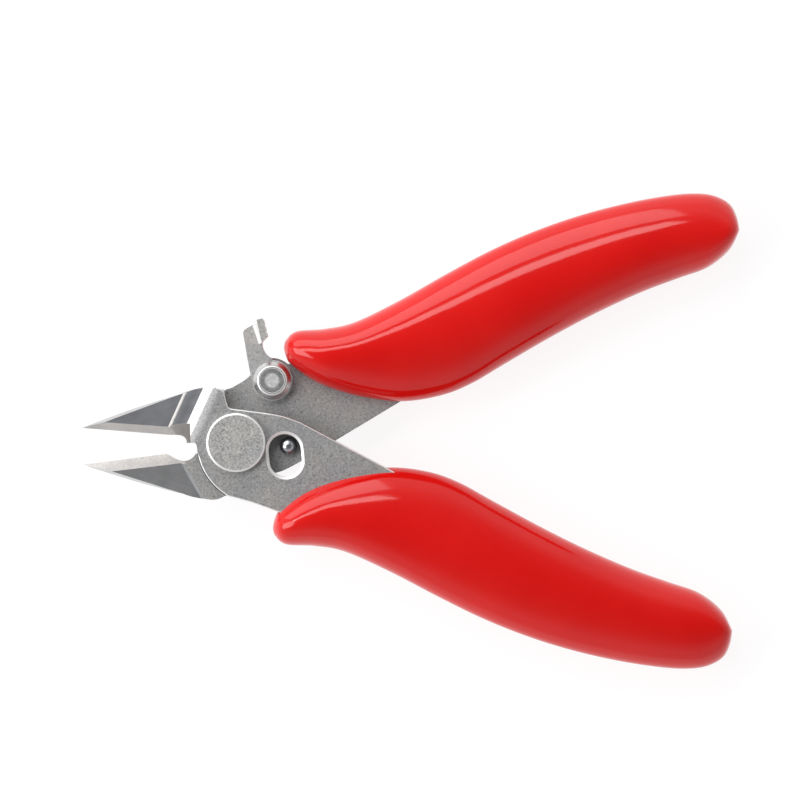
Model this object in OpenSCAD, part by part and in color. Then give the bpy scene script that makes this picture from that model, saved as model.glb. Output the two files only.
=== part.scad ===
// Mini flush cutter, 90 mm long. Two stamped and ground steel halves are lapped on one rivet.
// A coiled spring between the halves holds them open against a stop pin, each handle carries
// a moulded grip, and a thumb latch on one half swings into a notch in the other.
// Lengths are in millimetres. The tool lies flat: +Z is up, +X runs from the jaws to the
// handles, and +Y is the side of the handle that carries the latch.
// Every outline is drawn about the pivot, with Z = 0 between the two halves. place() then
// moves the tool so that the origin is on the bench, under the middle of the tool.

/* [Steel halves] */
// Thickness of the flat part of each half
plate_t = 2; // [1.8:0.1:2.2]
// Running gap between the two halves
lap_gap = 0.1; // [0.06:0.02:0.16]
// How much fuller the rear half is between the handles than the front half
rear_belly = 0.5; // [0:0.05:0.6]
// Radius of the rounded end of each half
hub_r = 8.13; // [8:0.01:8.3]
// Distance from the pivot to the centre of that rounded end
hub_x = 3; // [2.8:0.1:3.2]
// Gap between the rounded end of one half and the jaw root of the other
root_gap = 0.12; // [0.08:0.02:0.2]

/* [Jaws] */
// Distance from the pivot to the jaw tips
jaw_reach = 20.2; // [19:0.1:22]
// Gap between the two tips when the tool is open
tip_gap = 4.8; // [4:0.1:5.2]
// Height of the jaw roots above the middle plane
jaw_top = 1.15; // [1:0.05:1.4]
// Depth of the flush back of the jaws below the middle plane
jaw_back = 1; // [0.8:0.1:1.2]
// Depth to which the blades are ground below the jaw roots
ground_depth = 0.22; // [0.1:0.02:0.3]
// Width of the cutting bevel on the upper jaw
upper_bevel = 1.05; // [0.8:0.05:1.2]
// Width of the cutting bevel on the lower jaw
lower_bevel = 1.45; // [1:0.05:1.5]

/* [Pivot] */
// Diameter of the pivot rivet's head
pivot_head_d = 7.7; // [7:0.1:7.9]
// Height of the pivot rivet's head
pivot_head_h = 0.85; // [0.6:0.05:1.2]
// Diameter of the pivot rivet's shank
pivot_shank_d = 4; // [3.6:0.1:4.2]
// Diameter of the upset tail at the back
pivot_tail_d = 6.4; // [5.8:0.1:7]
// Radial clearance where the front half turns on the shank
pivot_fit = 0.04; // [0.02:0.01:0.08]

/* [Return spring and stop] */
// Diameter of the spring wire
wire_d = 0.4; // [0.3:0.05:0.4]
// Middle diameter of the spring coil
coil_d = 5.4; // [5.2:0.1:5.6]
// Diameter of the domed stop pin
stop_pin_d = 2.3; // [2:0.1:2.4]

/* [Latch] */
// Thickness of the latch plate
latch_t = 1.2; // [1:0.1:1.4]
// Radius of the latch's round end
latch_hub_r = 2.65; // [2.5:0.05:2.7]
// Height of the thumb tab above the latch plate
tab_h = 2.4; // [1.5:0.1:3]
// Diameter of the latch rivet's head
latch_head_d = 3.9; // [3.4:0.1:4.2]

/* [Grips] */
// Thickness of each grip before its faces are flattened
grip_t = 10.4; // [9.6:0.1:11]
// Depth taken off each face of the grip to flatten it
grip_flat = 0.2; // [0.1:0.05:0.3]
// How much further the lower grip is pushed on than the upper one
grip_push = 2.2; // [0:0.1:2.4]
// Extra angle at which the lower grip spreads from its nose, in degrees
grip_spread = 0.85; // [0:0.05:1.5]
// How much fuller the lower grip is on its inner side
grip_fuller = 0.5; // [0:0.1:0.8]

/* [Hidden] */
$fn = 96;
eps = 0.01;
far = 40;

steel = [0.66, 0.66, 0.66];
bright_steel = [0.78, 0.78, 0.78];
spring_steel = [0.45, 0.45, 0.47];
grip_red = [0.82, 0.07, 0.06];

// Heights of the two plates.
front_z0 = lap_gap / 2;
front_z1 = front_z0 + plate_t;
rear_z0 = -front_z1;
rear_z1 = -front_z0;

// Points that outlines and holes share, in the front half's own coordinates.
tip = [-jaw_reach, tip_gap / 2];
heel_edge = [-8.6, tip_gap / 4];
notch_edge = [-9.3, tip_gap * 0.2646];
latch_at = [4.93, 8];
stop_at = [6.82, -0.6];
slot_top = [6.35, -1.15];
slot_low = [6.45, -2.5];
slot_r = 2.12;
slot_chamfer = 0.38;
slot_bevel = 0.24;

// Heights and depths around the pivot and the latch.
recess_r = 3.35;
recess_depth = 0.6;
leg_reach = 4.6;
rear_leg = 118.5;
coil_sweep = 550;
front_leg = rear_leg - coil_sweep + 720;
stop_shank_d = 1.8;
seat_gap = 0.02;
latch_z0 = rear_z1 + 0.05;
latch_z1 = latch_z0 + latch_t;
latch_shank_d = 2;
washer_rise = 0.62;
head_chamfer = 0.24;
head_bevel = 0.15;
rim_chamfer = 0.17;
rim_bevel = 0.1;

// Grips.
grip_half = grip_t / 2;
grip_face = grip_half - grip_flat;
grip_rings = 40;
grip_sides = 28;
handle_slope = 24;

// The origin is at the middle of the tool's box, on the plane it lies on.
tail_x = 66.6;
middle_x = (tail_x - jaw_reach) / 2;

module place() {
  translate([-middle_x, 0, grip_face]) children();
}

// Points of an arc about c, from angle a0 to a1.
function arc(c, r, a0, a1, n = 16) =
  [for (i = [0 : n]) let (a = a0 + (a1 - a0) * i / n) c + r * [cos(a), sin(a)]];

// A smooth open curve through p, with n steps between neighbouring points.
function curve(p, n = 6) = concat(
  [for (i = [0 : len(p) - 2], j = [0 : n - 1]) curve_point(p, i, j / n)],
  [p[len(p) - 1]]
);
function curve_point(p, i, t) =
  let (
    a = p[max(i - 1, 0)],
    b = p[i],
    c = p[i + 1],
    d = p[min(i + 2, len(p) - 1)]
  )
  0.5 * ((2 * b) + (c - a) * t + (2 * a - 5 * b + 4 * c - d) * t * t
    + (3 * b - a - 3 * c + d) * t * t * t);
function flip_y(p) = [for (q = p) [q[0], -q[1]]];
function angle_to(a, b) = atan2(b[1] - a[1], b[0] - a[0]);

// ---- Outlines of one steel half, with its jaw above the X axis and its handle below ----

// Outer side of the jaw, from the tip to the shoulder over the pivot.
function jaw_outer() = concat(
  [tip],
  curve([[-17.5, 3.42], [-15, 4.25], [-12.5, 5.05], [-10, 5.78], [-8, 6.32], [-7, 6.55]], 3),
  curve([[-6.75, 6.74], [-6.1, 6.92], [-5.1, 7.14], [-4.1, 7.3]], 3)
);
function shoulder() = curve([[-4.1, 7.3], [-3.3, 7.42], [-2.5, 7.32], [-1.85, 7.06], [-1.35, 6.66]], 4);

// Inner side of the jaw behind the cutting edge: a heel on the upper jaw, and on the lower
// jaw a round notch that takes that heel when the tool closes.
function heel() = concat(
  curve([heel_edge, [-7.9, 1.2], [-7.2, 1.1], [-6.75, 0.82], [-6.53, 0.42], [-6.5, 0.1]], 3),
  [[-5.75, 0.1], [-5.35, 0.6]]
);
function notch() = curve(
  [
    notch_edge, [-8.85, 1.42], [-8.3, 1.78], [-7.6, 2.12],
    [-6.9, 2.25], [-6.2, 2.12], [-5.7, 1.8], [-5.33, 1.35]
  ],
  3
);
function jaw_outline(inner) = concat(
  jaw_outer(),
  [for (p = shoulder()) if (p[0] < -1.6) p],
  arc([hub_x, 0], hub_r + root_gap, 122.5, 171),
  [for (i = [len(inner) - 1 : -1 : 0]) inner[i]]
);

// The flat plate: shoulder, notch for the latch, the long edge that makes the V between the
// handles, the tang inside the grip, and back round the pivot.
function latch_notch() = concat(
  curve([[-1.35, 6.66], [-1.3, 6.2], [-1.12, 5.4], [-0.98, 4.9]], 3),
  arc([-0.5, 4.97], 0.48, 190, 258, 5)
);
function long_edge(belly) = curve([
  [-0.5, 4.47], [2, 4.08 + 0.4 * belly], [4, 3.78 + 0.9 * belly],
  [5.6, 3.48 + belly], [7, 3.05 + 0.7 * belly],
  [8.5, 2.45 + 0.35 * belly]
], 4);
function tang_edges() = concat(
  curve([[19, -3.42], [24, -6.2], [34, -11.8], [46, -17.9], [55, -22.2]], 4),
  arc([55.6, -25.2], 3.05, 75, -105, 12),
  curve([
    [52, -27.5], [46, -25.9], [40, -23.8], [34, -21.3],
    [28, -18.4], [20, -14.6], [12, -11.6], [5, -9.1]
  ], 4)
);
function lower_edge() = curve([[5, -9.1], [3.8, -8.62], [2, -7.95], [0.2, -7.38], [-1, -7.03]], 3);
function hub_end() = arc([hub_x, 0], hub_r, 240.1, 186, 24);
function front_throat() = [
  [-5.07, -0.8], [-5.12, -0.4], [-5.2, -0.1], [-5.4, 0.14],
  [-5.9, 0.1], [-5.96, 1], [-6.05, 2.1], [-6.4, 2.62]
];
function rear_throat() = concat(
  arc([hub_x, 0], hub_r, 186, 171, 6),
  [[-5.33, 1.35], [-5.7, 1.8], [-6.2, 2.12], [-6.4, 2.2], [-6.4, 2.62]]
);
function plate_outline(throat, belly) = concat(
  shoulder(),
  latch_notch(),
  long_edge(belly),
  tang_edges(),
  lower_edge(),
  hub_end(),
  throat
);

// ---- Grinding and milling cuts ----

// Cuts along the line from a to b. The profile is a list of [w, z], where w is the distance
// to the left of the line and z is the height.
module mill(a, b, profile) {
  translate([a[0], a[1], 0])
    rotate([0, 0, angle_to(a, b)])
      rotate([90, 0, 90])
        translate([0, 0, -far])
          linear_extrude(2 * far) polygon(profile);
}

ramp_foot = [[-6.4, 2.62], [-4.1, 7.3]];
ramp_run = 2.4;
blade_z = jaw_top - ground_depth;
upper_ridge = [[-8.5, 2.1], [-6.15, 7]];
lower_ridge = [[-7, 2.4], [-4.4, 7]];

// Lowers the blade to its ground face, which thins towards the tip.
module grind_face(ridge) {
  mill(ridge[0], ridge[1], [
    [0, far], [0, jaw_top + eps], [0.4, blade_z], [15, blade_z - 0.2], [15, far]
  ]);
}

// The cutting bevel runs from the ground face down to the edge on the flush back.
module grind_bevel(width, edge_end) {
  slope = (blade_z + jaw_back) / width;
  mill(tip, edge_end, [
    [-2, -jaw_back - 2 * slope], [width + 1, blade_z + slope], [width + 1, far], [-2, far]
  ]);
}

// Everything nearer to the tips than the line from a up to b.
module ahead_of(a, b) {
  mill(a, b, [[0, -far], [far, -far], [far, far], [0, far]]);
}

// The outer side of the blade is ground to a steep draft.
module grind_outside() {
  a = [-17.2, 3.05];
  b = [-7.3, 6.45];
  draft = 0.43;
  mill(a, b, [
    [1, -jaw_back - 2.1 * (1 - draft) / draft], [-1, blade_z + 2.1 / draft], [-1, far], [1, far]
  ]);
}

// The rounded slope between a plate's face and its jaw, seen from the face it lies on.
module ramp(face, foot) {
  rise = face - foot;
  steepest = 2 * atan(rise / ramp_run);
  r = ramp_run / sin(steepest);
  mill(ramp_foot[0], ramp_foot[1], concat(
    [[0.5, far], [0.5, foot + 0.2], [0, foot]],
    [for (i = [7 : -1 : 0])
      let (a = steepest * i / 8)
      [r * sin(a) - ramp_run, face - r * (1 - cos(a))]],
    [[-ramp_run, far]]
  ));
}

// The heel behind the edge is ground more gently, which carries the bevel on to the root.
module grind_heel() {
  slope = 0.73;
  top = blade_z + 0.02;
  intersection() {
    mill([-8.3, 2.2], [-6.2, 2.65], [
      [-3, top - 3 * slope], [2, top + 2 * slope], [2, far], [-3, far]
    ]);
    translate([-8.8, -far, -far]) cube([2.85, far + 2.66, 2 * far]);
  }
}

// A slot for the stop pin, with a wide chamfer round its upper rim.
module slot_hole() {
  length = norm(slot_low - slot_top);
  z = front_z1 - slot_bevel;
  rim = slot_r + slot_chamfer + eps;
  translate([slot_top[0], slot_top[1], 0]) rotate([0, 0, angle_to(slot_top, slot_low)]) {
    for (x = [0, length]) translate([x, 0, 0]) {
      translate([0, 0, front_z0 - 1]) cylinder(r = slot_r, h = plate_t + 2);
      translate([0, 0, z - eps]) cylinder(r1 = slot_r - eps, r2 = rim, h = slot_bevel + 2 * eps);
    }
    rotate([90, 0, 90]) linear_extrude(length) polygon([
      [-slot_r, front_z0 - 1], [slot_r, front_z0 - 1], [slot_r, z], [rim, front_z1 + eps],
      [-rim, front_z1 + eps], [-slot_r, z]
    ]);
  }
}

// Pocket for the spring in the inner face of a half, with a groove for one leg.
module spring_pocket(z, side, groove_from, groove_to) {
  depth = recess_depth + eps;
  translate([0, 0, side > 0 ? z - eps : z - recess_depth]) {
    cylinder(r = recess_r, h = depth);
    linear_extrude(depth)
      polygon(concat([[0, 0]], arc([0, 0], leg_reach + 0.2, groove_from, groove_to, 8)));
  }
}

module half_blank(z0, throat, belly, inner) {
  translate([0, 0, z0]) linear_extrude(plate_t) polygon(plate_outline(throat, belly));
  translate([0, 0, -jaw_back]) linear_extrude(jaw_back + jaw_top) polygon(jaw_outline(inner));
}

module front_lever() {
  color(steel) place() difference() {
    difference() {
      half_blank(front_z0, front_throat(), 0, heel());
      ramp(front_z1, jaw_top);
      grind_outside();
      grind_face(upper_ridge);
      intersection() {
        grind_bevel(upper_bevel, heel_edge);
        ahead_of([-7.75, 1.1], [-8.45, 2.2]);
      }
      grind_heel();
    }
    slot_hole();
    translate([0, 0, front_z0 - 1]) cylinder(d = pivot_shank_d + 2 * pivot_fit, h = plate_t + 2);
    spring_pocket(front_z0, 1, front_leg - 4, front_leg + 4);
  }
}

module rear_lever() {
  color(steel) place() difference() {
    mirror([0, 1, 0]) difference() {
      union() {
        half_blank(rear_z0, rear_throat(), rear_belly, notch());
        translate([latch_at[0], -latch_at[1], rear_z0]) cylinder(r = latch_hub_r + 0.32, h = plate_t);
        translate([0, 0, rear_z0]) linear_extrude(plate_t) polygon(latch_web());
      }
      mirror([0, 0, 1]) ramp(front_z1, jaw_back);
      grind_outside();
      grind_face(lower_ridge);
      intersection() {
        grind_bevel(lower_bevel, notch_edge);
        ahead_of([-6.75, 1], [-6.75, 2]);
      }
    }
    translate([0, 0, rear_z0 - 1]) {
      cylinder(d = pivot_shank_d + seat_gap, h = plate_t + 2);
      translate(stop_at) cylinder(d = stop_shank_d + seat_gap, h = plate_t + 2);
      translate(latch_at) cylinder(d = latch_shank_d + seat_gap, h = plate_t + 2);
    }
    spring_pocket(rear_z1, -1, rear_leg - 4, rear_leg + 4);
  }
}

// Fills between the rear plate and the lug that carries the latch rivet.
function latch_web() = concat(
  flip_y(curve([[-1, 6.84], [0, 7.42], [1.2, 8.08], [2.1, 8.8]], 4)),
  flip_y([latch_at, [7.0, 10.15], [10, 9.9], [12, 11.4], [12, 8], [5, 6], [0, 5]])
);

module pivot_rivet() {
  r = pivot_head_d / 2;
  z = front_z1 + 0.04;
  color(bright_steel) place() rotate_extrude() polygon([
    [0, rear_z0 - 0.6],
    [pivot_tail_d / 2 - 0.5, rear_z0 - 0.6],
    [pivot_tail_d / 2, rear_z0 - 0.15],
    [pivot_tail_d / 2, rear_z0],
    [pivot_shank_d / 2, rear_z0],
    [pivot_shank_d / 2, z],
    [r, z],
    [r, z + pivot_head_h - head_bevel],
    [r - head_chamfer, z + pivot_head_h],
    [0, z + pivot_head_h]
  ]);
}

module stop_pin() {
  r = stop_pin_d / 2;
  neck = 0.55;
  color(bright_steel) place() translate(stop_at) rotate_extrude() polygon(concat(
    [[0, rear_z0], [stop_shank_d / 2, rear_z0], [stop_shank_d / 2, rear_z1], [r, rear_z1]],
    [for (a = [0 : 6 : 84]) [r * cos(a), neck + r * sin(a)]],
    [[0, neck + r]]
  ));
}

// Rings along a wire: each is centred on a point of the path and faces along it.
function along(p, i) =
  let (d = p[min(i + 1, len(p) - 1)] - p[max(i - 1, 0)])
  d / norm(d);
function wire_points(p, r, sides) = [
  for (i = [0 : len(p) - 1], k = [0 : sides - 1])
    let (
      d = along(p, i),
      side = cross(d, [0, 0, 1]) / norm(cross(d, [0, 0, 1])),
      up = cross(side, d),
      a = 360 * k / sides
    )
    p[i] + r * (cos(a) * side + sin(a) * up)
];
module wire(p, r, sides = 8) {
  n = len(p);
  polyhedron(
    wire_points(p, r, sides),
    concat(
      [[for (k = [sides - 1 : -1 : 0]) k]],
      [for (i = [0 : n - 2], k = [0 : sides - 1]) [
        i * sides + k, i * sides + (k + 1) % sides,
        (i + 1) * sides + (k + 1) % sides, (i + 1) * sides + k
      ]],
      [[for (k = [0 : sides - 1]) (n - 1) * sides + k]]
    )
  );
}

// One and a half turns round the shank, with a leg out into each half.
module return_spring() {
  r = coil_d / 2;
  low = rear_z1 - recess_depth + wire_d / 2 + 0.03;
  rise = (wire_d + 0.01) * coil_sweep / 360;
  steps = 36;
  path = concat(
    [[leg_reach * cos(rear_leg), leg_reach * sin(rear_leg), low]],
    [for (i = [0 : steps]) let (a = rear_leg + 4 - (coil_sweep + 8) * i / steps)
      [r * cos(a), r * sin(a), low + rise * i / steps]],
    [[leg_reach * cos(front_leg), leg_reach * sin(front_leg), low + rise]]
  );
  color(spring_steel) place() wire(path, wire_d / 2);
}

// ---- Latch ----

// The latch's arm, from the round end out to the tip beside the thumb tab.
function latch_arm() = concat(
  [latch_at, [2.38, 7.55], [1.85, 10], [1.22, 13.95]],
  arc([2.02, 14.25], 0.82, 185, 122, 6),
  [[2.35, 15.35], [3.35, 15.6], [4, 13.35]],
  arc([5.98, 12.9], 2.2, 178, 244, 10)
);
// A toothed tab, bent up from the arm's edge for the thumb, with a slanted bend at its foot.
tab_low = [3.62, 13.2];
tab_high = [3.0, 16.05];
tab_w = 1.05;
bend_low = [3.72, 12.95];
bend_high = [2.98, 15.4];
bend_w = 0.45;
module thumb_tab() {
  length = norm(tab_high - tab_low);
  teeth = 3;
  tooth = 0.11;
  pitch = (length - 0.5) / teeth;
  translate([tab_low[0], tab_low[1], latch_z0]) rotate([0, 0, angle_to(tab_low, tab_high)])
    linear_extrude(latch_t + tab_h) polygon(concat(
      [[0, 0], [0, -tab_w * 0.45]],
      [for (i = [0 : teeth - 1]) each [
        [0.4 + i * pitch, -tab_w],
        [0.4 + (i + 0.6) * pitch, -tab_w],
        [0.4 + (i + 0.8) * pitch, -tab_w + tooth]
      ]],
      [[length - 0.1, -tab_w + 0.1], [length, -tab_w + 0.3], [length, 0]]
    ));
  translate([bend_low[0], bend_low[1], latch_z1]) rotate([0, 0, angle_to(bend_low, bend_high)])
    rotate([90, 0, 90]) linear_extrude(norm(bend_high - bend_low))
      polygon([[-0.2, -0.1], [bend_w, -0.1], [bend_w, 0], [0, bend_w], [-0.2, bend_w]]);
}

module latch_lever() {
  color(steel) place() difference() {
    union() {
      translate([latch_at[0], latch_at[1], latch_z0]) cylinder(r = latch_hub_r, h = latch_t);
      translate([0, 0, latch_z0]) linear_extrude(latch_t) polygon(latch_arm());
      thumb_tab();
    }
    translate([latch_at[0], latch_at[1], latch_z0 - 1])
      cylinder(d = latch_shank_d + 2 * pivot_fit, h = latch_t + 2);
  }
}

// A steep dished washer, which presses the latch down so that it stays where it is put.
module latch_spring_washer() {
  inner = latch_shank_d / 2 + 0.08;
  z = latch_z1 + 0.02;
  color(bright_steel) place() translate(latch_at) rotate_extrude() polygon([
    [inner, z + washer_rise - 0.2], [1.85, z + washer_rise - 0.2], [2.3, z], [2.48, z],
    [2.48, z + 0.08], [2.02, z + washer_rise], [inner, z + washer_rise]
  ]);
}

// The latch turns on a rivet with a dished head.
module latch_rivet() {
  r = latch_head_d / 2;
  z = latch_z1 + 0.04 + washer_rise;
  top = z + 0.72;
  color(bright_steel) place() translate(latch_at) rotate_extrude() polygon([
    [0, rear_z0 - 0.45],
    [1.3, rear_z0 - 0.45],
    [1.7, rear_z0 - 0.12],
    [1.7, rear_z0],
    [latch_shank_d / 2, rear_z0],
    [latch_shank_d / 2, z],
    [r, z],
    [r, top - rim_bevel],
    [r - rim_chamfer, top],
    [r - rim_chamfer - 0.12, top],
    [r - rim_chamfer - 0.2, top - 0.06],
    [0, top - 0.06]
  ]);
}

// ---- Grips ----

// The grip's two long sides in plan, drawn for the upper handle, from its nose to its tail.
nose = [6.5, 12.2];
tail = [tail_x, 26.2];
function grip_outer() = curve([
  nose, [7.05, 13.55], [8.5, 14.42], [12, 14.64], [16, 15.45], [22, 18.2], [28, 21.4],
  [34, 24.4], [40, 26.85], [46, 28.75], [52, 30.15], [57, 30.95], [60.5, 31.2],
  [63.2, 30.9], [65.3, 29.85], [66.4, 28.1], tail
]);
function grip_inner() = curve([
  nose, [6.75, 10.95], [7.5, 9.95], [10, 8.05], [13, 6.65], [17, 5.5], [22, 4.85],
  [27, 5.5], [31, 6.95], [35.5, 9.45], [41.5, 12.75], [47.5, 15.75], [53.5, 18.35],
  [58.5, 20.1], [62.3, 21.4], [65.2, 23.6], tail
]);

// Half thickness at a share s of the grip's length: domed at both ends, fullest at the palm.
function grip_depth(s) =
  grip_half * (0.9 + 0.1 * sin(180 * s))
  * sin(90 * min(1, s / 0.24))
  * sqrt(1 - pow(max(0, (s - 0.88) / 0.12), 2.4));
function signed_pow(x, e) = sign(x) * pow(abs(x), e);

module grip_body(fuller) {
  outer = grip_outer();
  steps = len(outer) - 1;
  inner = [for (i = [0 : steps]) grip_inner()[i] - [0, fuller * sin(180 * i / steps)]];
  ring = function (s)
    let (
      i = min(floor(s * steps), steps - 1),
      t = s * steps - i,
      a = outer[i] * (1 - t) + outer[i + 1] * t,
      b = inner[i] * (1 - t) + inner[i + 1] * t,
      h = grip_depth(s)
    )
    [for (k = [0 : grip_sides - 1])
      let (
        q = 360 * k / grip_sides,
        u = signed_pow(cos(q), 0.85),
        v = signed_pow(sin(q), 0.8),
        p = (a + b) / 2 + (a - b) / 2 * u
      )
      [p[0], p[1], h * v]];
  stations = [for (i = [1 : grip_rings - 1])
    let (c = cos(180 * i / grip_rings))
    0.5 - 0.5 * c * (0.6 + 0.4 * abs(c))];
  points = concat([for (s = stations) each ring(s)], [[nose[0], nose[1], 0], [tail[0], tail[1], 0]]);
  n = len(stations);
  last = n * grip_sides;
  polyhedron(points, concat(
    [for (k = [0 : grip_sides - 1]) [last, (k + 1) % grip_sides, k]],
    [for (i = [0 : n - 2], k = [0 : grip_sides - 1]) each [
      [i * grip_sides + k, i * grip_sides + (k + 1) % grip_sides, (i + 1) * grip_sides + k],
      [i * grip_sides + (k + 1) % grip_sides, (i + 1) * grip_sides + (k + 1) % grip_sides,
        (i + 1) * grip_sides + k]
    ]],
    [for (k = [0 : grip_sides - 1])
      [last + 1, (n - 1) * grip_sides + k, (n - 1) * grip_sides + (k + 1) % grip_sides]]
  ));
}

// A grip with its flat faces and the pocket that its tang fills.
module grip(plate_z0, push, spread, fuller) {
  difference() {
    intersection() {
      translate([nose[0] - push * cos(handle_slope), nose[1] - push * sin(handle_slope), 0])
        rotate([0, 0, spread])
          translate([-nose[0], -nose[1], 0]) grip_body(fuller);
      translate([0, -far, -grip_face]) cube([2 * far, 3 * far, 2 * grip_face]);
    }
    translate([0, 0, plate_z0 - seat_gap])
      linear_extrude(plate_t + 2 * seat_gap)
        offset(delta = seat_gap) polygon(flip_y(plate_outline(front_throat(), 0)));
  }
}

module upper_grip() {
  color(grip_red) place() grip(rear_z0, 0, 0, 0);
}
module lower_grip() {
  color(grip_red) place() mirror([0, 1, 0]) grip(front_z0, grip_push, grip_spread, grip_fuller);
}

front_lever();
rear_lever();
pivot_rivet();
return_spring();
stop_pin();
latch_lever();
latch_spring_washer();
latch_rivet();
upper_grip();
lower_grip();
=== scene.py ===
import bpy, bmesh, math
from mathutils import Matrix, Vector


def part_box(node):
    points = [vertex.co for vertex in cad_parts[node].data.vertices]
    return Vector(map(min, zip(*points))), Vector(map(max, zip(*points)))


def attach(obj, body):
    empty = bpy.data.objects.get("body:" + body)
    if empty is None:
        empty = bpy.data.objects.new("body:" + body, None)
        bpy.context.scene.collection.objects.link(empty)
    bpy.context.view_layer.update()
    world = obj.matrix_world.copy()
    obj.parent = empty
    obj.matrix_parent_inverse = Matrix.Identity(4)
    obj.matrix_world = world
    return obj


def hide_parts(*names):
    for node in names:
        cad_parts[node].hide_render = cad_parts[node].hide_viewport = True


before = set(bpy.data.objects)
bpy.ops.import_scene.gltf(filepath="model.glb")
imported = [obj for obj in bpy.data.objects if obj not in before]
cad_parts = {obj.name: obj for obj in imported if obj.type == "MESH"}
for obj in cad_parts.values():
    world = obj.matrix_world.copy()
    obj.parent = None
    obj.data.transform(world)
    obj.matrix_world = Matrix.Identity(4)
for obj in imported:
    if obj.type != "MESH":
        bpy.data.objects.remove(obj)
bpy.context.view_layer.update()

# Lengths below are in millimetres from the pivot, as in part.scad, and are turned into metres
# in the row's frame by place(). The tool lies flat with its middle plane at MID_Z.
MM = 0.001
PIVOT_X = -23.2
MID_Z = 5.0


def place(x, y, z=0.0):
    return Vector(((x + PIVOT_X) * MM, y * MM, (z + MID_Z) * MM))


def new_object(name, data):
    ob = bpy.data.objects.new(name, data)
    bpy.context.scene.collection.objects.link(ob)
    return ob


def fill_ramp(node, stops):
    """Sets a colour ramp to pairs of a position and a grey value or a colour."""
    elements = node.color_ramp.elements
    while len(elements) < len(stops):
        elements.new(0.5)
    for element, (position, value) in zip(elements, stops):
        element.position = position
        element.color = (*value, 1) if isinstance(value, tuple) else (value, value, value, 1)


# ---------------------------------------------------------------- camera
# It looks straight down at VIEW_CENTRE, from CAM_HEIGHT above a plane that lies VIEW_PLANE up,
# and sees VIEW_WIDTH of that plane. All four are in metres.
CAM_HEIGHT = 0.9
VIEW_PLANE = 0.0065
VIEW_WIDTH = 0.10471
VIEW_CENTRE = (-0.001604, 0.00505)
ROLL = -1.4
SENSOR = 36.0
cam_data = bpy.data.cameras.new("camera")
cam = new_object("camera", cam_data)
cam_data.sensor_width = SENSOR
cam_data.lens = SENSOR * CAM_HEIGHT / VIEW_WIDTH
cam_data.clip_end = 10.0
cam.location = (*VIEW_CENTRE, VIEW_PLANE + CAM_HEIGHT)
cam.rotation_euler = (0.0, 0.0, math.radians(ROLL))
bpy.context.scene.camera = cam
bpy.context.scene.view_settings.view_transform = "Standard"


# ---------------------------------------------------------------- materials
class Nodes:
    """A short way to write a node tree."""

    def __init__(self, name):
        self.mat = bpy.data.materials.new(name)
        self.mat.use_nodes = True
        self.tree = self.mat.node_tree
        self.bsdf = self.tree.nodes["Principled BSDF"]
        self.coords = self.tree.nodes.new("ShaderNodeTexCoord").outputs["Object"]

    def add(self, kind, **inputs):
        node = self.tree.nodes.new(kind)
        for key, value in inputs.items():
            if hasattr(node, key):
                setattr(node, key, value)
            else:
                self.put(node.inputs[key.replace("_", " ")], value)
        return node

    def put(self, socket, value):
        if isinstance(value, bpy.types.NodeSocket):
            self.tree.links.new(value, socket)
        else:
            socket.default_value = value

    def set(self, **inputs):
        for key, value in inputs.items():
            self.put(self.bsdf.inputs[key.replace("_", " ")], value)

    def stretched(self, scale, turn=0.0):
        node = self.add("ShaderNodeMapping", vector_type="TEXTURE", Vector=self.coords)
        node.inputs["Rotation"].default_value = (0, 0, math.radians(turn))
        node.inputs["Scale"].default_value = tuple(1 / v for v in scale)
        return node.outputs["Vector"]

    def noise(self, scale, detail=2.0, vector=None, rough=0.5):
        node = self.add(
            "ShaderNodeTexNoise", Vector=vector or self.coords,
            Scale=scale, Detail=detail, Roughness=rough)
        return node.outputs["Fac"]

    def ramp(self, fac, stops):
        node = self.add("ShaderNodeValToRGB", Fac=fac)
        fill_ramp(node, stops)
        return node.outputs["Color"]

    def calc(self, operation, *values, kind="ShaderNodeMath", out="Value"):
        node = self.add(kind, operation=operation)
        for socket, value in zip(node.inputs, values):
            self.put(socket, value)
        return node.outputs[out]

    def mix(self, fac, a, b, blend="MIX"):
        node = self.add("ShaderNodeMix", data_type="RGBA", blend_type=blend)
        for socket, value in ((node.inputs[0], fac), (node.inputs[6], a), (node.inputs[7], b)):
            if isinstance(value, tuple) and len(value) == 3:
                value = (*value, 1)
            self.put(socket, value)
        return node.outputs[2]

    def bump(self, height, strength, distance, normal=None):
        node = self.add("ShaderNodeBump", Height=height, Strength=strength, Distance=distance)
        if normal is not None:
            self.put(node.inputs["Normal"], normal)
        return node.outputs["Normal"]


def blasted_steel(name, shade, speckle=0.22, rough=0.52, metal=0.8):
    """Stainless plate after bead blasting: a fine mottled grain, sparse dark pits, a broad faint tint."""
    n = Nodes(name)
    fine = n.noise(4600, 3, rough=0.75)
    broad = n.noise(240, 3)
    pits = n.noise(2100, 2, rough=0.6)
    swing = speckle * 1.5
    grain = n.ramp(fine, [(0.32, shade * (1 - swing)), (0.5, shade), (0.68, shade * (1 + swing))])
    tone = n.ramp(broad, [(0.3, (0.93, 0.94, 0.97)), (0.5, (1.0, 0.99, 0.98)), (0.7, (1.07, 1.04, 1.0))])
    dark = n.ramp(pits, [(0.27, 0.6), (0.37, 1.0)])
    color = n.mix(1.0, n.mix(1.0, grain, tone, "MULTIPLY"), dark, "MULTIPLY")
    n.set(Base_Color=color, Metallic=metal)
    n.set(Roughness=n.ramp(fine, [(0.3, rough - 0.06), (0.7, rough + 0.08)]))
    n.set(Normal=n.bump(fine, 0.6, 0.00004, n.bump(broad, 0.25, 0.00006)))
    return n.mat


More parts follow.
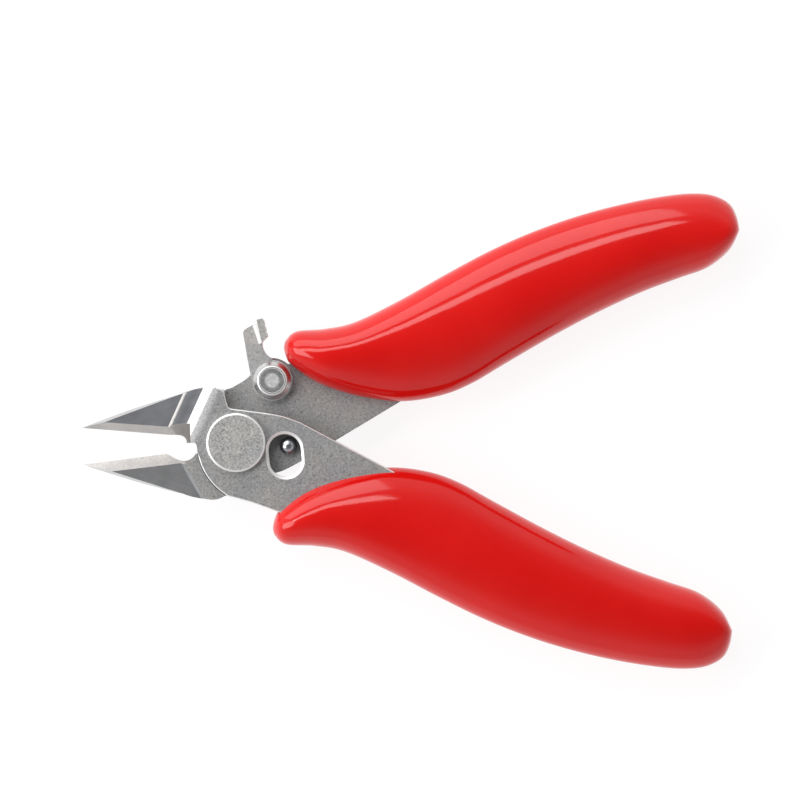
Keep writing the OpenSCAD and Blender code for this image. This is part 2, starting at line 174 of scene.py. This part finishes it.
def dished_head(name, node, core):
    """Rivet head whose spun middle, core metres in radius, is lighter and rougher than its ring."""
    n = Nodes(name)
    lo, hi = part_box(node)
    top = (*((lo + hi) / 2).xy, hi.z)
    offset = n.calc("SUBTRACT", n.coords, top, kind="ShaderNodeVectorMath", out="Vector")
    radius = n.calc("LENGTH", offset, kind="ShaderNodeVectorMath")
    share = n.calc("DIVIDE", radius, 2 * core)
    fine = n.noise(4200, 3, rough=0.75)
    frayed = n.calc("MULTIPLY_ADD", fine, 0.16, share)
    grain = n.ramp(fine, [(0.32, 0.72), (0.68, 1.3)])
    n.set(Base_Color=n.mix(1.0, n.ramp(frayed, [(0.5, 0.62), (0.66, 0.36)]), grain, "MULTIPLY"))
    n.set(Metallic=0.75, Roughness=n.ramp(share, [(0.42, 0.6), (0.56, 0.4)]))
    n.set(Normal=n.bump(fine, 0.5, 0.00004))
    return n.mat


def ground_steel(name, shade, turn, rough=0.3, tint=(1.0, 1.0, 1.0), contrast=0.14, metal=1.0):
    """Ground or brushed face: fine parallel lines at an angle to X."""
    n = Nodes(name)
    lines = n.noise(1.0, 4, n.stretched((260, 9000, 2500), turn), 0.65)
    broad = n.noise(420, 2)
    low, high = shade * (1 - contrast), shade * (1 + contrast)
    grain = n.ramp(lines, [(0.28, tuple(low * t for t in tint)), (0.72, tuple(high * t for t in tint))])
    tone = n.ramp(broad, [(0.3, 0.9), (0.7, 1.08)])
    n.set(Base_Color=n.mix(1.0, grain, tone, "MULTIPLY"), Metallic=metal)
    n.set(Roughness=n.ramp(lines, [(0.3, rough - 0.07), (0.7, rough + 0.1)]))
    n.set(Normal=n.bump(lines, 0.35, 0.00002))
    return n.mat


def grip_plastic(name):
    """Glossy dipped vinyl: a deep even red with slight clouding, and faint handling marks in its gloss."""
    n = Nodes(name)
    cloud = n.noise(90, 3)
    fine = n.noise(900, 3)
    scuffs = n.noise(1.0, 3, n.stretched((300, 2600, 900), 24), 0.7)
    n.set(Base_Color=n.ramp(cloud, [(0.25, (0.65, 0.005, 0.004)), (0.75, (0.72, 0.009, 0.007))]))
    n.set(Roughness=n.ramp(scuffs, [(0.35, 0.07), (0.7, 0.12)]), IOR=1.46)
    n.set(Normal=n.bump(fine, 0.05, 0.00008, n.bump(cloud, 0.12, 0.0004)))
    return n.mat


PLATE = blasted_steel("blasted_plate", 0.41)
JAW_FLAT = ground_steel("jaw_ground_flat", 0.25, 19, 0.45, (0.97, 0.99, 1.06), 0.1, 0.66)
JAW_FLAT_LOW = ground_steel("jaw_ground_flat_low", 0.25, -19, 0.45, (0.99, 1.0, 1.02), 0.1, 0.66)
# Painted light and shade: both cutting bevels are one ground finish, but the upper jaw's is painted darker
# and the lower jaw's lighter.
UPPER_JAW_BEVEL_PAINTED_SHADE = ground_steel("upper_jaw_bevel_painted_shade", 0.46, 96, 0.45, (1.03, 0.99, 0.97), 0.16)
LOWER_JAW_BEVEL_PAINTED_LIGHT = ground_steel("lower_jaw_bevel_painted_light", 0.72, 78, 0.42, (1.03, 0.99, 0.96), 0.2)
JAW_SIDE = ground_steel("jaw_ground_side", 0.6, 19, 0.4, (1.0, 1.0, 1.0), 0.12)
# Painted highlight: the slope from the plate down to the jaw is the plate's blasted steel made about twice
# as bright, as if lit from the left.
RAMP_PAINTED_HIGHLIGHT = blasted_steel("shoulder_slope_painted_highlight", 0.84, 0.12, 0.42, 0.9)
# Painted highlight: near-white steel for the rounded plate edges, the slot's chamfer and the latch's fold,
# standing in for light caught along edges.
EDGE_PAINTED_HIGHLIGHT = ground_steel("edge_painted_highlight", 0.86, 0, 0.45, (1.0, 1.0, 0.99), 0.06, 0.6)
HEAD = blasted_steel("pivot_head_face", 0.5, 0.3, 0.52)
LATCH_HEAD = dished_head("latch_head_face", "latch_rivet", 0.00095)
# Painted highlight: the rivet heads' chamfer rings get near-white steel so that they look bright all
# round.
RIM_PAINTED_HIGHLIGHT = ground_steel("rim_painted_highlight", 0.9, 0, 0.45, (1.0, 1.0, 1.0), 0.05, 0.6)
WASHER = ground_steel("washer_steel", 0.62, 0, 0.3, (1.0, 1.0, 1.0), 0.1)
PIN = ground_steel("polished_pin", 0.5, 0, 0.22, (0.95, 0.98, 1.05), 0.04, 1.0)
# Painted shade: the slot's inner wall gets a very dark base so that the slot looks shadowed.
BORE_PAINTED_SHADE = blasted_steel("slot_wall_painted_shade", 0.2, 0.2, 0.6)
LATCH = blasted_steel("latch_plate", 0.54, 0.14, 0.48)
WIRE = ground_steel("spring_wire", 0.3, 0, 0.3)
RED = grip_plastic("grip_vinyl")


# ---------------------------------------------------------------- floor and light
def mesh_object(name, verts, faces, materials=()):
    me = bpy.data.meshes.new(name)
    me.from_pydata([tuple(v) for v in verts], [], faces)
    me.update()
    ob = new_object(name, me)
    for m in materials:
        me.materials.append(m)
    return ob


def pale_floor():
    n = Nodes("pale_floor")
    n.set(Base_Color=n.ramp(n.noise(3, 2), [(0.3, 0.14), (0.7, 0.17)]), Roughness=0.9)
    n.set(Emission_Color=(1.0, 1.0, 1.0, 1.0), Emission_Strength=0.88)
    floor = mesh_object("floor", [(-3, -3, 0), (3, -3, 0), (3, 3, 0), (-3, 3, 0)], [(0, 1, 2, 3)], [n.mat])


def softbox(name, azimuth, elevation, distance, size, radiance):
    """A rectangular light aimed at the tool. Its azimuth runs from +X towards +Y, and both angles
    are in degrees. Its distance and size, a width and a height, are in metres."""
    a, e = math.radians(azimuth), math.radians(elevation)
    data = bpy.data.lights.new(name, "AREA")
    data.shape = "RECTANGLE"
    data.size, data.size_y = size
    data.energy = radiance * math.pi * size[0] * size[1]
    lamp = new_object(name, data)
    towards = Vector((math.cos(e) * math.cos(a), math.cos(e) * math.sin(a), math.sin(e)))
    lamp.location = distance * towards
    lamp.rotation_euler = (-lamp.location).to_track_quat("-Z", "Y").to_euler()


def light_tent():
    """Surroundings that are bright near the horizon, dim overhead, and brighter on the upper left."""
    world = bpy.data.worlds.new("light_tent")
    bpy.context.scene.world = world
    world.use_nodes = True
    nodes, links = world.node_tree.nodes, world.node_tree.links
    direction = nodes.new("ShaderNodeTexCoord").outputs["Generated"]

    def profile(axis, stops):
        """A brightness that depends on how far the direction points along an axis."""
        dot = nodes.new("ShaderNodeVectorMath")
        dot.operation = "DOT_PRODUCT"
        dot.inputs[1].default_value = axis
        links.new(direction, dot.inputs[0])
        ramp = nodes.new("ShaderNodeValToRGB")
        links.new(dot.outputs["Value"], ramp.inputs["Fac"])
        fill_ramp(ramp, stops)
        return ramp.outputs["Color"]

    height = profile((0, 0, 1), [(0.0, 1.0), (0.45, 0.9), (0.8, 0.3), (1.0, 0.14)])
    side = profile((-0.3, 0.4, 0), [(0.0, 0.8), (0.45, 1.0)])
    both = nodes.new("ShaderNodeMix")
    both.data_type, both.blend_type = "RGBA", "MULTIPLY"
    both.inputs[0].default_value = 1.0
    links.new(height, both.inputs[6])
    links.new(side, both.inputs[7])
    links.new(both.outputs[2], nodes["Background"].inputs["Color"])


pale_floor()
light_tent()
softbox("upper_band", 128, 56, 0.6, (0.56, 0.11), 4.4)
softbox("lower_band", 121, 25, 0.6, (0.62, 0.36), 2.1)
softbox("left_box", 186, 38, 0.55, (0.3, 0.3), 4.4)


# ---------------------------------------------------------------- steel pieces
SAME_POINT = 2e-6        # metres
SAME_PLANE = 0.6         # degrees
CREASE = 22              # degrees, above which an edge is sharp
UPRIGHT = 0.3            # a face whose normal has less than this along Z stands upright


def from_cad(name, node, body, pick, materials, soften=0.0, rim=None):
    """A finished copy of a CAD node: its flat faces are merged, and each face is given the finish
    that pick(centre, normal) names. An edge that rim(centre) accepts, between a flat face and an
    upright one, is rounded off by soften and takes the last material. Soften and centres are in
    mm, and centres are measured from the pivot."""
    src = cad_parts[node]
    bm = bmesh.new()
    bm.from_mesh(src.data)
    bmesh.ops.remove_doubles(bm, verts=bm.verts, dist=SAME_POINT)
    bmesh.ops.dissolve_limit(bm, angle_limit=math.radians(SAME_PLANE), verts=bm.verts, edges=bm.edges)
    weight = bm.edges.layers.float.new("bevel_weight_edge")

    def from_pivot(c):
        return Vector((c.x / MM - PIVOT_X, c.y / MM, c.z / MM - MID_Z))

    for edge in bm.edges if rim else ():
        if len(edge.link_faces) == 2 and edge.is_convex:
            side, top = sorted(abs(f.normal.z) for f in edge.link_faces)
            middle = (edge.verts[0].co + edge.verts[1].co) / 2
            if side < UPRIGHT and top > 0.93 and rim(from_pivot(middle)):
                edge[weight] = 1.0
    me = bpy.data.meshes.new(name)
    bm.to_mesh(me)
    bm.free()
    ob = new_object(name, me)
    for m in materials:
        me.materials.append(m)
    for poly in me.polygons:
        poly.material_index = pick(from_pivot(poly.center), poly.normal)
    if soften:
        mod = ob.modifiers.new("soft_edges", "BEVEL")
        mod.width = soften * MM
        mod.segments = 2
        mod.limit_method = "WEIGHT"
        mod.use_clamp_overlap = False
        # Rounded edges take the last material; in the lever and latch calls that is the painted-highlight
        # edge steel.
        mod.material = len(materials) - 1
    me.shade_smooth()
    me.set_sharp_from_angle(angle=math.radians(CREASE))
    flat = ob.modifiers.new("flat_faces", "WEIGHTED_NORMAL")
    flat.weight = 100
    flat.keep_sharp = True
    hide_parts(node)
    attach(ob, body)


# Stations along a lever, by their X in mm from the pivot.
LOWER_FLAT_END, JAW_ROOT, SHOULDER, SLOT_START, SLOT_END = -6.6, -4.6, -2.5, 3, 9.5


def lever_finish(side):
    """Finish of a lever's face. side is +1 for the jaw above the X axis, and -1 for the one below."""
    plate, flat, bevel, slope, outer, shaded_slot_wall, edge = range(7)

    def pick(c, n):
        out = n.y * side                # how far the face looks away from the other jaw
        # The slot's chamfer takes the painted-highlight edge steel.
        if c.x > SLOT_START and UPRIGHT < n.z < 0.95:
            return edge                 # chamfer round the slot
        # The slot's wall takes the dark painted-shade steel.
        if side > 0 and SLOT_START < c.x < SLOT_END and -6 < c.y < 2.5 and abs(n.z) < UPRIGHT:
            return shaded_slot_wall                 # wall of the slot
        if c.x > JAW_ROOT and not (n.z < 0.95 and c.y * side > 3):
            return plate
        if n.z < -0.5 or c.x > SHOULDER:
            return plate                # flush back, and all that is behind the jaw
        # The slope takes the brightened plate steel, a painted highlight.
        if side > 0 and c.z > 1.1 and -0.97 < n.x < -0.05 and n.z > 0.2:
            return slope                # from the plate down to the jaw
        if n.z > 0.97 and c.z > 0.5:
            return flat if side > 0 or c.x < LOWER_FLAT_END else plate
        if n.z > 0.2 and out < -0.3:
            return bevel                # down to the cutting edge
        if 0.15 < n.z < 0.6 and out > 0.6:
            return outer                # down to the outline
        if n.z > 0.3 and n.x < -0.3:
            return bevel if side > 0 else flat
        return flat if n.z > 0.9 else plate
    return pick


def lever_rim(c):
    """The outline of a lever's plate behind the jaw root."""
    return c.x > -5.0 and abs(c.z) > 1.5


def head_finish(c, n):
    # Faces other than the flat top, chiefly the chamfer ring, take the painted-highlight rim steel.
    return 0 if n.z > 0.9 else 1


def latch_finish(c, n):
    # The latch's sloped fold faces take the painted-highlight edge steel.
    return 1 if 0.4 < n.z < 0.9 else 0


def plain(c, n):
    return 0


def latch_rim(c):
    """The outline of the latch's arm, without its round end."""
    return c.y > 9


from_cad("front_lever_steel", "front_lever", "slot_handle", lever_finish(1),
         [PLATE, JAW_FLAT, UPPER_JAW_BEVEL_PAINTED_SHADE, RAMP_PAINTED_HIGHLIGHT, JAW_SIDE, BORE_PAINTED_SHADE, EDGE_PAINTED_HIGHLIGHT], soften=0.14, rim=lever_rim)
from_cad("rear_lever_steel", "rear_lever", "latch_handle", lever_finish(-1),
         [PLATE, JAW_FLAT_LOW, LOWER_JAW_BEVEL_PAINTED_LIGHT, RAMP_PAINTED_HIGHLIGHT, JAW_SIDE, BORE_PAINTED_SHADE, EDGE_PAINTED_HIGHLIGHT], soften=0.14, rim=lever_rim)
from_cad("latch_lever_steel", "latch_lever", "latch", latch_finish,
         [LATCH, EDGE_PAINTED_HIGHLIGHT], soften=0.06, rim=latch_rim)
from_cad("pivot_rivet_steel", "pivot_rivet", "latch_handle", head_finish, [HEAD, RIM_PAINTED_HIGHLIGHT])
from_cad("latch_rivet_steel", "latch_rivet", "latch_handle", head_finish, [LATCH_HEAD, RIM_PAINTED_HIGHLIGHT])
from_cad("latch_washer_steel", "latch_spring_washer", "latch_handle", plain, [WASHER])
from_cad("stop_pin_steel", "stop_pin", "latch_handle", plain, [PIN])
from_cad("return_spring_wire", "return_spring", "latch_handle", plain, [WIRE])


# ---------------------------------------------------------------- grips
def catmull(points, t):
    """Point at t, counted in points, on a smooth curve through the list."""
    i = min(int(t), len(points) - 2)
    t -= i
    a, b, c, d = (Vector(points[max(0, min(len(points) - 1, k))]) for k in (i - 1, i, i + 1, i + 2))
    bend = 2 * a - 5 * b + 4 * c - d
    twist = 3 * b - a - 3 * c + d
    return 0.5 * (2 * b + (c - a) * t + bend * t * t + twist * t ** 3)


# The grip's two long sides in plan, drawn for the upper handle, from its nose to its tail.
NOSE, TAIL = (6.5, 12.2), (66.6, 26.2)
OUTER = [
    NOSE, (6.85, 13.3), (8.3, 14.4), (12, 14.64), (16, 15.45), (22, 18.2),
    (28, 21.4), (34, 24.4), (40, 26.85), (46, 28.75), (52, 30.15), (57, 30.95),
    (60.5, 31.2), (63.2, 30.9), (65.3, 29.8), (66.25, 28.15), TAIL,
]
INNER = [
    NOSE, (6.8, 11.0), (7.5, 9.95), (10, 8.05), (13, 6.65), (17, 5.5),
    (22, 4.85), (27, 5.5), (31, 6.95), (35.5, 9.45), (41.5, 12.75), (47.5, 15.75),
    (53.5, 18.35), (58.5, 20.1), (62.3, 21.4), (65.2, 23.6), TAIL,
]
NOSE_SHARE, TAIL_SHARE = 0.24, 0.12     # shares of the length over which the ends are domed
HANDLE_SLOPE = 24                       # degrees
RINGS, SIDES = 150, 64


def grip(name, node, body, side, push=0.0, spread=0.0, fuller=0.0):
    """A smooth closed shell between the two long sides, round at both ends. It is moved towards
    the jaws by push mm, turned outwards by spread degrees and made wider inwards by fuller mm.
    side is +1 for the handle above the X axis, and -1 for the one below."""
    lo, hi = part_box(node)
    half = (hi.z - lo.z) / 2 / MM
    steps = len(OUTER) - 1
    verts = []
    for i in range(1, RINGS):
        s = 0.5 - 0.5 * math.cos(math.pi * i / RINGS)
        a = catmull(OUTER, s * steps)
        b = catmull(INNER, s * steps) - Vector((0, fuller * math.sin(math.pi * s)))
        nose_dome = math.sin(math.pi / 2 * min(1.0, s / NOSE_SHARE))
        tail_dome = math.sqrt(1 - max(0.0, (s - 1 + TAIL_SHARE) / TAIL_SHARE) ** 2.4)
        h = half * (0.9 + 0.1 * math.sin(math.pi * s)) * nose_dome * tail_dome
        for k in range(SIDES):
            q = 2 * math.pi * k / SIDES
            u = math.cos(q)
            v = math.copysign(abs(math.sin(q)) ** 0.95, math.sin(q))
            p = (a + b) / 2 + (a - b) / 2 * u
            verts.append((p.x, p.y, h * v))
    first, last = len(verts), len(verts) + 1
    verts += [(*NOSE, 0), (*TAIL, 0)]
    faces = [(first, (k + 1) % SIDES, k) for k in range(SIDES)]
    for i in range(RINGS - 2):
        for k in range(SIDES):
            m = (k + 1) % SIDES
            faces.append((i * SIDES + k, i * SIDES + m, (i + 1) * SIDES + m, (i + 1) * SIDES + k))
    base = (RINGS - 2) * SIDES
    faces += [(last, base + k, base + (k + 1) % SIDES) for k in range(SIDES)]
    slope, turn = math.radians(HANDLE_SLOPE), math.radians(spread)
    out = []
    for x, y, z in verts:
        dx, dy = x - NOSE[0], y - NOSE[1]
        x = NOSE[0] - push * math.cos(slope) + dx * math.cos(turn) - dy * math.sin(turn)
        y = NOSE[1] - push * math.sin(slope) + dx * math.sin(turn) + dy * math.cos(turn)
        out.append(place(x, y * side, z))
    if side < 0:
        faces = [tuple(reversed(f)) for f in faces]
    ob = mesh_object(name, out, faces, [RED])
    bm = bmesh.new()
    bm.from_mesh(ob.data)
    bmesh.ops.recalc_face_normals(bm, faces=bm.faces)
    bm.to_mesh(ob.data)
    bm.free()
    ob.data.shade_smooth()
    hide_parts(node)
    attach(ob, body)


grip("upper_grip_vinyl", "upper_grip", "latch_handle", 1)
grip("lower_grip_vinyl", "lower_grip", "slot_handle", -1, push=2.2, spread=0.85, fuller=0.5)
